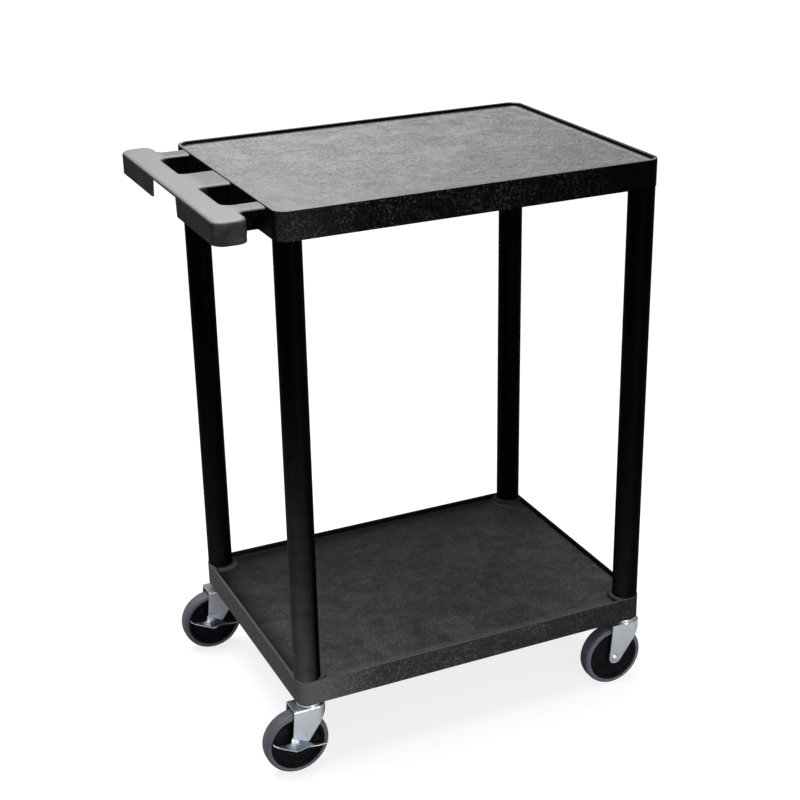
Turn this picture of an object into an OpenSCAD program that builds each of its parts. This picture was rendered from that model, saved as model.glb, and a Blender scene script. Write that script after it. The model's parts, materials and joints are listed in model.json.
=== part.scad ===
// Two-shelf food service trolley with a moulded push handle and four swivel casters.
// Frame: +X along the length (push handle at the -X end), +Y to the back, +Z up.
// Origin: on the floor, under the middle of the overall length and width. Units are millimetres.

/* [Overall] */
// Length of a shelf, without the handle
shelf_l = 610; // [500:5:900]
// Width of a shelf
shelf_w = 450; // [380:5:600]
// Height of the top shelf's lip above the floor
cart_h = 899; // [700:1:1000]
// Corner radius of the shelves
corner_r = 21.5; // [21:0.5:24]

/* [Shelves] */
// Height of the lower shelf's underside above the floor
lower_z = 121; // [119:0.5:140]
// Height of the lower shelf's moulding
lower_h = 40; // [38:1:60]
// Height of the top shelf's moulding
top_h = 43; // [40:1:60]
// Height of the lip above the deck
lip_h = 8; // [4:0.5:10]
// Width of the lip's top
lip_t = 5; // [4:0.5:8]
// Thickness of the apron walls
wall_t = 5; // [4:0.5:6]
// Thickness of the deck
deck_t = 5; // [4:0.5:6]
// Thickness of the stiffening ribs
rib_t = 3; // [2:0.5:4]

/* [Push handle] */
// Reach of the handle beyond the shelf's end
handle_reach = 88; // [80:1:110]
// Width of the grip bar between its ends
bar_w = 40; // [38:1:44]
// Length of the grip bar
bar_l = 454; // [440:1:470]
// Depth of the handle's skirt
skirt_h = 34; // [24:1:38]
// Distance from the middle to a grip pocket
pocket_in = 42; // [30:1:50]
// Distance from the middle to a grip pocket's far side
pocket_out = 148; // [130:1:152]
// Distance from the middle to an outer arm's far side
arm_out = 184; // [176:1:188]
// Wall thickness of the hollow handle
handle_t = 3.5; // [2.5:0.5:4]

/* [Legs] */
// Outside diameter of a leg
leg_d = 41; // [38:0.5:41.5]
// Wall thickness of a leg's tube
leg_wall = 6.5; // [5.5:0.5:7]
// Depth of a leg's spigot in a shelf's socket
spigot_h = 28; // [20:1:29]

/* [Casters] */
// Diameter of a wheel over its tyre
wheel_d = 104; // [102:0.5:106]
// Width of a tyre
tyre_w = 27; // [24:1:28]
// Diameter of the core under the tyre
core_d = 88; // [80:1:88]
// Distance from the swivel axis back to the axle
trail = 24; // [22:1:26]
// Sheet thickness of a fork
fork_t = 2.5; // [2:0.5:3]
// Angle at which a released brake pedal stands, tail up
pedal_tilt = 13.5; // [8:0.5:16]

/* [Hidden] */

$fn = 64;
run_gap = 0.05;                        // radial clearance of a running fit

// Corner axes: every leg stands over its caster's swivel axis
corner_x = shelf_l / 2 - corner_r;
corner_y = shelf_w / 2 - corner_r;

// Heights
lower_top = lower_z + lower_h;
top_z = cart_h - top_h;
lower_deck = lower_top - lip_h;
top_deck = cart_h - lip_h;

// Legs and their sockets
leg_r = leg_d / 2;
leg_bore_r = leg_r - leg_wall;
spigot_r = leg_r - 3;
socket_r = spigot_r + run_gap;
boss_r = leg_r + 6;
stem_tube_r = leg_bore_r - 3;

// Push handle
bar_out = shelf_l / 2 + handle_reach;
bar_in = bar_out - bar_w;
bar_mid = (bar_out + bar_in) / 2;
handle_top = cart_h - 2;
end_flare = 10;                        // the bar's ends are this much wider
end_lap = 16;                          // and start this far inside the arms' far sides
bar_end_w = bar_w + end_flare;
bar_end_l = bar_l / 2 - arm_out + end_lap;
bar_end_r = 18;
pocket_r = 14;
outer_fillet_r = 10;
arm_rise = 12;
notch_half = 58;
notch_roof = 5;
notch_draft = 3;

// Swivel bearing, from the shelf down
stem_r = 5.55;
stem_bore_r = stem_r + run_gap;
socket_sleeve_r = 7;
stem_h = 36;
bead_r = 5.95;
bead_z = 26;
flange_r = 11;
flange_t = 1;
collar_r = 9;
collar_t = 0.5;
race_r = 19.5;
race_t = 1.8;
race_h = 4.8;
ball_r = 2;
ball_ring_r = 15;
ball_count = 18;
rivet_r = 8;
rivet_t = 2.4;
race_top = lower_z - flange_t - collar_t;
ball_z = race_top - race_t - ball_r - run_gap;
fork_top = ball_z - ball_r - run_gap;
fork_under = fork_top - fork_t;

// Fork
fork_half = 18;
fork_in = fork_half - fork_t;
fork_back = 30;
nose_x = 8;
tip_r = 11;
knee = [14, 86];
shoulder_x = nose_x + fork_half;
shoulder_z = 103;

// Axle
wheel_r = wheel_d / 2;
axle_r = 3.95;
axle_hole_r = axle_r + run_gap;
sleeve_r = 6.5;
hub_half = fork_in - 0.5;
head_r = 6.5;
head_t = 3.2;
nut_af = 12.7;
nut_t = 6;
bolt_proud = 1.5;

// Brake
bracket_t = 1.3;
pedal_t = 2;
ear_r = 7;
pedal_rise = 9;
pedal_half = 46;
pedal_reach = 18.5;
pedal_slope = 29;
tip_w = 6;
apex_x = -12;
pedal_in = fork_half + bracket_t + 0.1;
pedal_out = pedal_in + pedal_reach * cos(pedal_slope) + pedal_t * sin(pedal_slope);
braked_reach = bracket_t + pedal_t + 0.2;
bolt_end = fork_half + nut_t + bolt_proud;

// The shelves' centre, with the origin midway between the handle and the front of the right wheels
// and, to the nearest half millimetre, between the pedals and the ends of the back bolts
shelf_x = (bar_out - corner_x - max(nose_x + fork_half, wheel_r - trail)) / 2;
widest = max(bar_l, shelf_w) / 2;
shelf_y = round(max(corner_y + pedal_out, widest) - max(corner_y + bolt_end, widest)) / 2;

// Colours
c_plastic = [0.10, 0.10, 0.11];
c_leg = [0.05, 0.05, 0.05];
c_core = [0.13, 0.12, 0.13];
c_tyre = [0.56, 0.56, 0.60];
c_zinc = [0.80, 0.81, 0.83];
c_steel = [0.68, 0.70, 0.73];

// ---------------------------------------------------------------- shared shapes

// Rounded rectangle about the origin
module rounded(l, w, r) {
    square([l - 2 * r, w], center = true);
    square([l, w - 2 * r], center = true);
    for (sx = [-1, 1], sy = [-1, 1])
        translate([sx * (l / 2 - r), sy * (w / 2 - r)])
            circle(r = r);
}

// Prism of a rounded rectangle from height z0 to z1
module slab(l, w, r, z0, z1) {
    translate([0, 0, z0])
        linear_extrude(z1 - z0)
            rounded(l, w, r);
}

module ring(r_out, r_in, z0, z1) {
    difference() {
        translate([0, 0, z0])
            cylinder(r = r_out, h = z1 - z0);
        translate([0, 0, z0 - 1])
            cylinder(r = r_in, h = z1 - z0 + 2);
    }
}

// Cylinder along Y from y0 to y1, about the point (x, z)
module y_rod(x, z, r, y0, y1) {
    translate([x, y1, z])
        rotate([90, 0, 0])
            cylinder(r = r, h = y1 - y0);
}

// Prism along Y from y0 to y1 of an outline drawn in X and Z
module y_prism(y0, y1) {
    translate([0, y1, 0])
        rotate([90, 0, 0])
            linear_extrude(y1 - y0)
                children();
}

module at_corners() {
    for (sx = [-1, 1], sy = [-1, 1])
        translate([sx * corner_x, sy * corner_y, 0])
            children();
}

// ---------------------------------------------------------------- shelves

// Crossed stiffening ribs under a deck, reaching into the apron
module ribs(z0, z1, n_long, n_cross) {
    for (i = [1:n_long])
        translate([0, shelf_w * (i / (n_long + 1) - 0.5), (z0 + z1) / 2])
            cube([shelf_l - wall_t, rib_t, z1 - z0], center = true);
    for (i = [1:n_cross])
        translate([shelf_l * (i / (n_cross + 1) - 0.5), 0, (z0 + z1) / 2])
            cube([rib_t, shelf_w - wall_t, z1 - z0], center = true);
}

// Tray open above and hollow below, from the apron's foot z0 to the lip's top z1
module tray(z0, z1) {
    deck = z1 - lip_h;
    inner_l = shelf_l - 2 * wall_t;
    inner_w = shelf_w - 2 * wall_t;
    difference() {
        slab(shelf_l, shelf_w, corner_r, z0, z1);
        slab(shelf_l - 2 * lip_t, shelf_w - 2 * lip_t, corner_r - lip_t, deck, z1 + 1);
        slab(inner_l, inner_w, corner_r - wall_t, z0 - 1, deck - deck_t);
    }
}

// Outline of the grip bar, drawn inwards by t: its ends, outside the arms, are wider
module bar_plan(t) {
    translate([t - bar_out, bar_end_r - bar_l / 2])
        square([bar_w - 2 * t, bar_l - 2 * bar_end_r]);
    for (s = [-1, 1])
        translate([bar_end_w / 2 - bar_out, s * (bar_l - bar_end_l) / 2])
            rounded(bar_end_w - 2 * t, bar_end_l - 2 * t, bar_end_r - t);
}

// The three arms, from the middle of the bar into the shelf's end wall, drawn inwards by t
module arm_plan(t) {
    arm_l = bar_mid - shelf_l / 2 + handle_t - t;
    translate([-bar_mid, t - pocket_in])
        square([arm_l, 2 * (pocket_in - t)]);
    for (s = [-1, 1])
        translate([-bar_mid, (s > 0 ? pocket_out : -arm_out) + t])
            square([arm_l, arm_out - pocket_out - 2 * t]);
}

// Fillet in the corner between the bar's inner edge at x and an arm's side at y;
// side_y gives the side of the arm
module arm_fillet(x, y, side_y, r) {
    bite = 1;
    translate([x, y, handle_top - skirt_h + arm_rise])
        difference() {
            translate([-bite, side_y > 0 ? -bite : -r, 0])
                cube([r + bite, r + bite, skirt_h - arm_rise]);
            translate([r, side_y * r, -1])
                cylinder(r = r, h = skirt_h - arm_rise + 2);
        }
}

// Cut in the middle of the bar's outer skirt, in Y and Z, a little wider at its foot
module notch_side() {
    top = skirt_h + 1 - notch_roof;
    polygon([
        [-notch_half - notch_draft, 0], [notch_half + notch_draft, 0],
        [notch_half, top], [-notch_half, top]
    ]);
}

// Hollow moulding: the bar's skirt is deeper than the arms' walls, and has a cut in the middle
module handle() {
    foot = handle_top - skirt_h;
    difference() {
        union() {
            translate([0, 0, foot])
                linear_extrude(skirt_h)
                    bar_plan(0);
            translate([0, 0, foot + arm_rise])
                linear_extrude(skirt_h - arm_rise)
                    arm_plan(0);
        }
        translate([0, 0, foot - 1])
            linear_extrude(skirt_h + 1 - deck_t)
                bar_plan(handle_t);
        translate([0, 0, foot - 1])
            linear_extrude(skirt_h + 1 - deck_t)
                arm_plan(handle_t);
        translate([-bar_out - 1, 0, foot - 1])
            rotate([90, 0, 90])
                linear_extrude(handle_t + 2)
                    notch_side();
    }
    for (s = [-1, 1]) {
        arm_fillet(-bar_in, s * pocket_out, -s, pocket_r);
        arm_fillet(-bar_out + bar_end_w, s * arm_out, s, outer_fillet_r);
    }
}

module top_shelf() {
    color(c_plastic)
    difference() {
        union() {
            tray(top_z, cart_h);
            ribs(top_z + 14, top_deck - deck_t + 1, 3, 5);
            handle();
            at_corners()
                translate([0, 0, top_z])
                    cylinder(r = corner_r - 0.5, h = top_deck - top_z - 1);
        }
        at_corners()
            translate([0, 0, top_z - 1])
                cylinder(r = socket_r, h = spigot_h + 1);
    }
}

module lower_shelf() {
    color(c_plastic)
    difference() {
        union() {
            tray(lower_z, lower_top);
            ribs(lower_z + 14, lower_deck - deck_t + 1, 3, 5);
            intersection() {
                slab(shelf_l, shelf_w, corner_r, lower_z, lower_top);
                at_corners()
                    translate([0, 0, lower_z])
                        cylinder(r = boss_r, h = lower_h);
            }
        }
        // Ring-shaped sockets for the legs, round the tubes that hold the casters
        at_corners()
            ring(socket_r, stem_tube_r, lower_top - spigot_h, lower_top + 1);
        at_corners()
            translate([0, 0, lower_z - 1])
                cylinder(r = socket_sleeve_r, h = lower_h + 2);
    }
}

// Hollow leg with a reduced spigot at both ends
module leg() {
    color(c_leg)
    difference() {
        union() {
            translate([0, 0, lower_top])
                cylinder(r = leg_r, h = top_z - lower_top);
            translate([0, 0, lower_top - spigot_h + 0.5])
                cylinder(r = spigot_r, h = top_z - lower_top + 2 * spigot_h - 1);
        }
        translate([0, 0, lower_z])
            cylinder(r = leg_bore_r, h = cart_h - lower_z);
    }
}

// ---------------------------------------------------------------- swivel bearing

// Flanged sleeve in the shelf's boss, with a groove that the stem's bead snaps into
module stem_socket() {
    color(c_steel)
    difference() {
        union() {
            translate([0, 0, lower_z])
                cylinder(r = socket_sleeve_r, h = stem_h);
            translate([0, 0, lower_z - flange_t])
                cylinder(r = flange_r, h = flange_t);
        }
        translate([0, 0, lower_z - flange_t - 1])
            cylinder(r = stem_bore_r, h = stem_h + flange_t + 2);
        translate([0, 0, lower_z + bead_z - 1.2])
            cylinder(r = bead_r + run_gap, h = 2.4);
    }
}

// Grip stem above, collar on the raceway, kingpin and riveted head below the fork
module stem() {
    color(c_steel)
    union() {
        translate([0, 0, fork_under - run_gap - rivet_t])
            cylinder(r = rivet_r, h = rivet_t);
        translate([0, 0, fork_under - rivet_t])
            cylinder(r = stem_r, h = lower_z + stem_h - 2 - fork_under + rivet_t);
        translate([0, 0, lower_z + stem_h - 2])
            cylinder(r1 = stem_r, r2 = stem_r - 1.5, h = 2);
        translate([0, 0, race_top])
            cylinder(r = collar_r, h = collar_t);
        translate([0, 0, lower_z + bead_z - 1])
            cylinder(r = bead_r, h = 2);
    }
}

// Pressed dish over the balls
module raceway() {
    color(c_zinc)
    union() {
        ring(race_r, stem_bore_r, race_top - race_t, race_top);
        ring(race_r, race_r - race_t, race_top - race_h, race_top);
    }
}

module balls() {
    color(c_steel)
    for (i = [0:ball_count - 1])
        rotate([0, 0, i * 360 / ball_count])
            translate([ball_ring_r, 0, ball_z])
                sphere(r = ball_r, $fn = 32);
}

// ---------------------------------------------------------------- fork

// Point where a line from p touches a circle about c, on its clockwise side
function touch(c, r, p) =
    let (d = p - c, a = atan2(d[1], d[0]) - acos(r / norm(d)))
        c + r * [cos(a), sin(a)];

// Plan of the fork: straight at the back, round at the front; t draws it inwards
module fork_plan(t, back) {
    translate([nose_x, 0])
        circle(r = fork_half - t);
    translate([-back, -fork_half + t])
        square([back + nose_x, 2 * (fork_half - t)]);
}

// Side view of a fork leg, in X and Z
module fork_side() {
    axle = [-trail, wheel_r];
    foot = touch(axle, tip_r, knee);
    polygon([
        [-fork_back, fork_top], [-trail - tip_r, wheel_r], axle, foot, knee,
        [shoulder_x + 1, shoulder_z], [shoulder_x + 1, fork_top]
    ]);
    translate(axle)
        circle(r = tip_r);
}

module fork() {
    color(c_zinc)
    difference() {
        intersection() {
            linear_extrude(fork_top)
                fork_plan(0, fork_back + tip_r);
            y_prism(-fork_half - 1, fork_half + 1)
                fork_side();
        }
        translate([0, 0, -1])
            linear_extrude(fork_under + 1)
                fork_plan(fork_t, fork_back + 2 * tip_r);
        cylinder(r = stem_bore_r, h = fork_top + 1);
        y_rod(-trail, wheel_r, axle_hole_r, -fork_half - 1, fork_half + 1);
    }
}

// ---------------------------------------------------------------- axle and wheel

// Domed head outside, threaded end inside; reach is how far the head stands off the fork
module axle_bolt(reach) {
    seat = -fork_half - reach;
    dome_r = (head_r * head_r + head_t * head_t) / (2 * head_t);
    color(c_zinc)
    union() {
        y_rod(-trail, wheel_r, axle_r, seat - head_t / 2, bolt_end);
        intersection() {
            y_rod(-trail, wheel_r, head_r + 1, seat - head_t - 1, seat);
            translate([-trail, seat + dome_r - head_t, wheel_r])
                sphere(r = dome_r);
        }
    }
}

module axle_nut() {
    color(c_zinc)
    difference() {
        translate([-trail, fork_half + nut_t, wheel_r])
            rotate([90, 0, 0])
                cylinder(d = nut_af / cos(30), h = nut_t, $fn = 6);
        y_rod(-trail, wheel_r, axle_hole_r, fork_half - 1, fork_half + nut_t + 1);
    }
}

module axle_sleeve() {
    color(c_steel)
    difference() {
        y_rod(-trail, wheel_r, sleeve_r, -fork_in, fork_in);
        y_rod(-trail, wheel_r, axle_hole_r, -fork_in - 1, fork_in + 1);
    }
}

// Turns a profile drawn as [radius, width] about the axle
module about_axle() {
    translate([-trail, 0, wheel_r])
        rotate([90, 0, 0])
            rotate_extrude($fn = 128)
                children();
}

// Hub, dished web and rim
module wheel_core() {
    core_r = core_d / 2;
    hub_r = 13;
    rim_half = 11.5;
    web_half = 7;
    half = [
        [sleeve_r + run_gap, hub_half], [hub_r, hub_half], [hub_r + 2, web_half],
        [core_r - 7, web_half], [core_r - 4, rim_half], [core_r, rim_half]
    ];
    n = len(half) - 1;
    color(c_core)
    about_axle()
        polygon([
            for (p = half) p,
            for (i = [0:n]) [half[n - i][0], -half[n - i][1]]
        ]);
}

// Tread with round shoulders and flat sides
module tyre() {
    core_r = core_d / 2;
    side_half = tyre_w / 2;
    shoulder_r = 6;
    color(c_tyre)
    about_axle()
        intersection() {
            union() {
                translate([core_r, -side_half])
                    square([wheel_r - shoulder_r - core_r, tyre_w]);
                translate([core_r, -side_half + shoulder_r])
                    square([wheel_r - core_r, tyre_w - 2 * shoulder_r]);
                for (s = [-1, 1])
                    translate([wheel_r - shoulder_r, s * (side_half - shoulder_r)])
                        circle(r = shoulder_r);
            }
            translate([core_r, -tyre_w])
                square([wheel_r, 2 * tyre_w]);
        }
}

// ---------------------------------------------------------------- side brake

// Cam plate on the axle, outside the fork's leg
module brake_bracket() {
    tab_back = 13;
    tab_front = 11;
    tab_h = 20;
    hook_z = 15;
    hook_y = 5;
    y0 = -fork_half - bracket_t;
    color(c_zinc)
    difference() {
        union() {
            y_rod(-trail, wheel_r, ear_r, y0, -fork_half);
            translate([-trail - tab_back, y0, wheel_r])
                cube([tab_back + tab_front, bracket_t, tab_h]);
            // Hook folded outwards at the front of the tab
            translate([-trail + tab_front, y0 - hook_y, wheel_r + hook_z])
                cube([bracket_t, hook_y + bracket_t, tab_h - hook_z]);
        }
        y_rod(-trail, wheel_r, axle_hole_r, y0 - 1, -fork_half + 1);
    }
}

// Plan of the pedal's plate, from its inner edge outwards along -Y
module pedal_plan() {
    polygon([
        [-pedal_half, -tip_w], [-pedal_half, 0],
        [pedal_half, 0], [pedal_half, -tip_w],
        [apex_x + 5, -pedal_reach], [apex_x - 5, -pedal_reach]
    ]);
}

// Two-winged plate over the axle, sloping down outwards, with one ear that rocks on the bolt
module brake_pedal() {
    y0 = -pedal_in - pedal_t;
    color(c_steel)
    translate([-trail, 0, wheel_r])
        rotate([0, pedal_tilt, 0])
            difference() {
                union() {
                    y_rod(0, 0, ear_r, y0, -pedal_in);
                    translate([-ear_r, y0, 0])
                        cube([2 * ear_r, pedal_t, pedal_rise]);
                    translate([0, -pedal_in, pedal_rise])
                        rotate([pedal_slope, 0, 0])
                            linear_extrude(pedal_t)
                                pedal_plan();
                }
                y_rod(0, 0, axle_hole_r, y0 - 1, -pedal_in + 1);
            }
}

// ---------------------------------------------------------------- places

// Places for pieces that are modelled on their own leg's axis. All four casters are alike, so
// the pedals and bolt heads are on the front side of each.
module front_left() {
    translate([shelf_x - corner_x, shelf_y - corner_y, 0])
        children();
}

module front_right() {
    translate([shelf_x + corner_x, shelf_y - corner_y, 0])
        children();
}

module back_left() {
    translate([shelf_x - corner_x, shelf_y + corner_y, 0])
        children();
}

module back_right() {
    translate([shelf_x + corner_x, shelf_y + corner_y, 0])
        children();
}

// ---------------------------------------------------------------- nodes

translate([shelf_x, shelf_y, 0]) top_shelf();
translate([shelf_x, shelf_y, 0]) lower_shelf();
front_left() leg();  // leg_front_left
front_right() leg();  // leg_front_right
back_left() leg();  // leg_back_left
back_right() leg();  // leg_back_right
front_left() stem_socket();  // stem_socket_front_left
front_right() stem_socket();  // stem_socket_front_right
back_left() stem_socket();  // stem_socket_back_left
back_right() stem_socket();  // stem_socket_back_right
front_left() stem();  // stem_front_left
front_right() stem();  // stem_front_right
back_left() stem();  // stem_back_left
back_right() stem();  // stem_back_right
front_left() raceway();  // raceway_front_left
front_right() raceway();  // raceway_front_right
back_left() raceway();  // raceway_back_left
back_right() raceway();  // raceway_back_right
front_left() balls();  // balls_front_left
front_right() balls();  // balls_front_right
back_left() balls();  // balls_back_left
back_right() balls();  // balls_back_right
front_left() fork();  // fork_front_left
front_right() fork();  // fork_front_right
back_left() fork();  // fork_back_left
back_right() fork();  // fork_back_right
front_left() axle_bolt(braked_reach);  // axle_bolt_front_left
front_right() axle_bolt(0);  // axle_bolt_front_right
back_left() axle_bolt(braked_reach);  // axle_bolt_back_left
back_right() axle_bolt(0);  // axle_bolt_back_right
front_left() axle_nut();  // axle_nut_front_left
front_right() axle_nut();  // axle_nut_front_right
back_left() axle_nut();  // axle_nut_back_left
back_right() axle_nut();  // axle_nut_back_right
front_left() axle_sleeve();  // axle_sleeve_front_left
front_right() axle_sleeve();  // axle_sleeve_front_right
back_left() axle_sleeve();  // axle_sleeve_back_left
back_right() axle_sleeve();  // axle_sleeve_back_right
front_left() wheel_core();  // wheel_core_front_left
front_right() wheel_core();  // wheel_core_front_right
back_left() wheel_core();  // wheel_core_back_left
back_right() wheel_core();  // wheel_core_back_right
front_left() tyre();  // tyre_front_left
front_right() tyre();  // tyre_front_right
back_left() tyre();  // tyre_back_left
back_right() tyre();  // tyre_back_right
front_left() brake_bracket();  // brake_bracket_front_left
back_left() brake_bracket();  // brake_bracket_back_left
front_left() brake_pedal();  // brake_pedal_front_left
back_left() brake_pedal();  // brake_pedal_back_left
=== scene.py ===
import json
import math

import bmesh
import bpy
from mathutils import Matrix, Vector

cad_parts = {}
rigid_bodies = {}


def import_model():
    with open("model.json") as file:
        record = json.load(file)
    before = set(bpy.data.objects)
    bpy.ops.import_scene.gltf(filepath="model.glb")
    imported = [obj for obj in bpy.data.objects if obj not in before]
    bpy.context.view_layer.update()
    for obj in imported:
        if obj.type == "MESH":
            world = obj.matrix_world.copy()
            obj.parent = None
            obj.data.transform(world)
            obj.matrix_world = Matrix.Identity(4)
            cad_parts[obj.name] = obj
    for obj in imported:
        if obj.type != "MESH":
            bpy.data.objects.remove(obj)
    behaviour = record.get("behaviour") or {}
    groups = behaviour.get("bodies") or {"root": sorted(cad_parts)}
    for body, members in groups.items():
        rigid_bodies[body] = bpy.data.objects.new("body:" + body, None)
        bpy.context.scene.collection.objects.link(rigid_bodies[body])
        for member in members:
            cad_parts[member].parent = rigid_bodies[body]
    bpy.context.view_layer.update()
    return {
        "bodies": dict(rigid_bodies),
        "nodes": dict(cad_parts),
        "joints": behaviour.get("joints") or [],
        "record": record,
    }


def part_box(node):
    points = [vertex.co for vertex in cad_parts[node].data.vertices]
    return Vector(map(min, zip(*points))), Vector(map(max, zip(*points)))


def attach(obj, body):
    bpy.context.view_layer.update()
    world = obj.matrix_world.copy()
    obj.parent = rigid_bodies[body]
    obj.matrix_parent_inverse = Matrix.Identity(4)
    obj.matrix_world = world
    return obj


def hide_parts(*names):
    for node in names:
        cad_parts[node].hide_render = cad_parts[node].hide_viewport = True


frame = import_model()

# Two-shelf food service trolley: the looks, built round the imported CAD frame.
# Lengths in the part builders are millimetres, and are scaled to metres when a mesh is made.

MM = 0.001
FRONT, BACK = -1, 1
CORNERS = {
    "front_left": (-1, FRONT),
    "front_right": (1, FRONT),
    "back_left": (-1, BACK),
    "back_right": (1, BACK),
}


# ---------------------------------- sizes from the frame

def box_mm(node):
    low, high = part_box(node)
    return low / MM, high / MM


def mount_z(name):
    """Height of a mount, in millimetres."""
    mount = next(m for m in frame["record"]["mounts"] if m["name"] == name)
    return mount["pos_m"][2] / MM


def joint_pos(name):
    joint = next(j for j in frame["joints"] if j["name"] == name)
    return Vector(joint["pos_m"]) / MM


LOWER_LOW, LOWER_HIGH = box_mm("lower_shelf")
TOP_LOW, TOP_HIGH = box_mm("top_shelf")
LEG_LOW, LEG_HIGH = box_mm("leg_front_left")

SHELF_L = LOWER_HIGH.x - LOWER_LOW.x
SHELF_W = LOWER_HIGH.y - LOWER_LOW.y
SHELF_X = (LOWER_HIGH.x + LOWER_LOW.x) / 2
SHELF_Y = (LOWER_HIGH.y + LOWER_LOW.y) / 2
CORNER_X = joint_pos("swivel_front_right").x - SHELF_X
CORNER_Y = joint_pos("swivel_back_right").y - SHELF_Y
CORNER_R = SHELF_L / 2 - CORNER_X
TOP_DECK = mount_z("top_deck")
LOWER_DECK = mount_z("lower_deck")
HANDLE_OUT = TOP_LOW.x - SHELF_X     # the push handle's outer edge
AXLE_Z = joint_pos("wheel_front_left").z
TRAIL = joint_pos("swivel_front_left").x - joint_pos("wheel_front_left").x

WALL = 5.0                           # of the shelves' aprons
DECK_T = 5.0
LEG_R = (LEG_HIGH.x - LEG_LOW.x) / 2
BOSS_R = LEG_R + 6                   # of the raised corners round the legs' feet


def outward(node, corner):
    """Nearest and farthest reach of a caster's piece towards the front, from the caster's axis."""
    low, high = box_mm(node)
    axis = SHELF_Y + CORNERS[corner][1] * CORNER_Y
    return axis - high.y, axis - low.y


# ---------------------------------- mesh helpers

def new_object(name, verts, faces, smooth_angle=35):
    """A mesh object from points in millimetres, smooth shaded below the given angle."""
    mesh = bpy.data.meshes.new(name)
    mesh.from_pydata([Vector(v) * MM for v in verts], [], faces)
    tidy = bmesh.new()
    tidy.from_mesh(mesh)
    bmesh.ops.remove_doubles(tidy, verts=tidy.verts, dist=1e-6)
    bmesh.ops.recalc_face_normals(tidy, faces=tidy.faces)
    tidy.to_mesh(mesh)
    tidy.free()
    shade(mesh, smooth_angle)
    obj = bpy.data.objects.new(name, mesh)
    bpy.context.scene.collection.objects.link(obj)
    return obj


def shade(mesh, angle=35):
    """Smooth shading, with sharp edges above the angle."""
    mesh.polygons.foreach_set("use_smooth", [True] * len(mesh.polygons))
    mesh.set_sharp_from_angle(angle=math.radians(angle))
    mesh.update()


def loft(rings, cap_start=True, cap_end=True):
    """Points and faces of a skin over closed rings that have the same number of points."""
    n = len(rings[0])
    verts = [p for ring in rings for p in ring]
    faces = []
    for k in range(len(rings) - 1):
        for i in range(n):
            j = (i + 1) % n
            faces.append((k * n + i, k * n + j, (k + 1) * n + j, (k + 1) * n + i))
    if cap_start:
        faces.append(tuple(range(n)))
    if cap_end:
        faces.append(tuple(len(verts) - n + i for i in range(n)))
    return verts, faces


def merge(*parts):
    """One list of points and faces out of several."""
    verts, faces = [], []
    for part_verts, part_faces in parts:
        base = len(verts)
        verts += part_verts
        faces += [tuple(base + i for i in f) for f in part_faces]
    return verts, faces


def moved(part, place):
    """The part's points sent through a function from point to point."""
    return [place(v) for v in part[0]], part[1]


def arc(cx, cy, r, a0, a1, steps):
    """Points on an arc in a plane, angles in degrees, both ends included."""
    return [
        (cx + r * math.cos(math.radians(a)), cy + r * math.sin(math.radians(a)))
        for a in (a0 + (a1 - a0) * i / steps for i in range(steps + 1))
    ]


def quarter(steps):
    """Sine and cosine at even steps from 0 to 90 degrees."""
    angles = [math.radians(90 * k / steps) for k in range(steps + 1)]
    return [(math.sin(a), math.cos(a)) for a in angles]


def lathe(profile, steps=96):
    """A closed profile of (radius, height) turned about Z. A point at radius 0 closes the end."""
    angles = [2 * math.pi * i / steps for i in range(steps)]
    rings = [[(r * math.cos(a), r * math.sin(a), h) for a in angles] for r, h in profile]
    first, last = (profile[k][0] > 1e-6 for k in (0, -1))
    if first and last:
        return loft(rings + [rings[0]], cap_start=False, cap_end=False)
    return loft(rings, cap_start=first, cap_end=last)


def rounded_profile(points, radius=0.6, steps=4):
    """The closed polygon with its corners rounded; a point may carry its own radius as a third value."""
    out = []
    for i, p in enumerate(points):
        here = Vector(p[:2])
        r = p[2] if len(p) > 2 else radius
        if r <= 0:
            out.append(tuple(here))
            continue
        before = Vector(points[i - 1][:2]) - here
        after = Vector(points[(i + 1) % len(points)][:2]) - here
        half = before.angle(after) / 2
        # A corner's curve takes up less than half of each side
        cut = min(r / math.tan(half), before.length * 0.48, after.length * 0.48)
        start = here + before.normalized() * cut
        end = here + after.normalized() * cut
        for k in range(steps + 1):
            t = k / steps
            out.append(tuple(start * (1 - t) ** 2 + here * (2 * t * (1 - t)) + end * t ** 2))
    return out


def prism(outline, z0, z1, edge=0.3):
    """A plate between two heights over an outline of (x, y), with a small chamfer on its edges."""
    n = len(outline)

    def inset(d):
        points = []
        for i in range(n):
            a, b, c = (Vector(outline[(i + k) % n]) for k in (-1, 0, 1))
            u, v = (b - a).normalized(), (c - b).normalized()
            bisector = Vector((-u.y - v.y, u.x + v.x))
            points.append(b + bisector * (d * (1 / max(bisector.length_squared, 0.5))))
        return points

    area = sum(outline[i - 1][0] * outline[i][1] - outline[i][0] * outline[i - 1][1] for i in range(n))
    flat = inset(edge if area > 0 else -edge)
    full = [Vector(p) for p in outline]
    levels = ((flat, z0), (full, z0 + edge), (full, z1 - edge), (flat, z1))
    return loft([[(p.x, p.y, z) for p in ring] for ring, z in levels])


def join(obj, others):
    """Joins the other objects to obj, exactly, and removes them."""
    for other in others:
        mod = obj.modifiers.new("join", "BOOLEAN")
        mod.operation = "UNION"
        mod.solver = "EXACT"
        mod.object = other
        graph = bpy.context.evaluated_depsgraph_get()
        mesh = bpy.data.meshes.new_from_object(obj.evaluated_get(graph))
        obj.modifiers.clear()
        old, obj.data = obj.data, mesh
        bpy.data.meshes.remove(old)
        bpy.data.objects.remove(other)


def ease_edges(obj, width):
    """Rounds a piece's sharp edges a little."""
    bevel = obj.modifiers.new("edge", "BEVEL")
    bevel.width = width * MM
    bevel.segments = 2
    bevel.limit_method = "ANGLE"
    bevel.angle_limit = math.radians(50)


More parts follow.
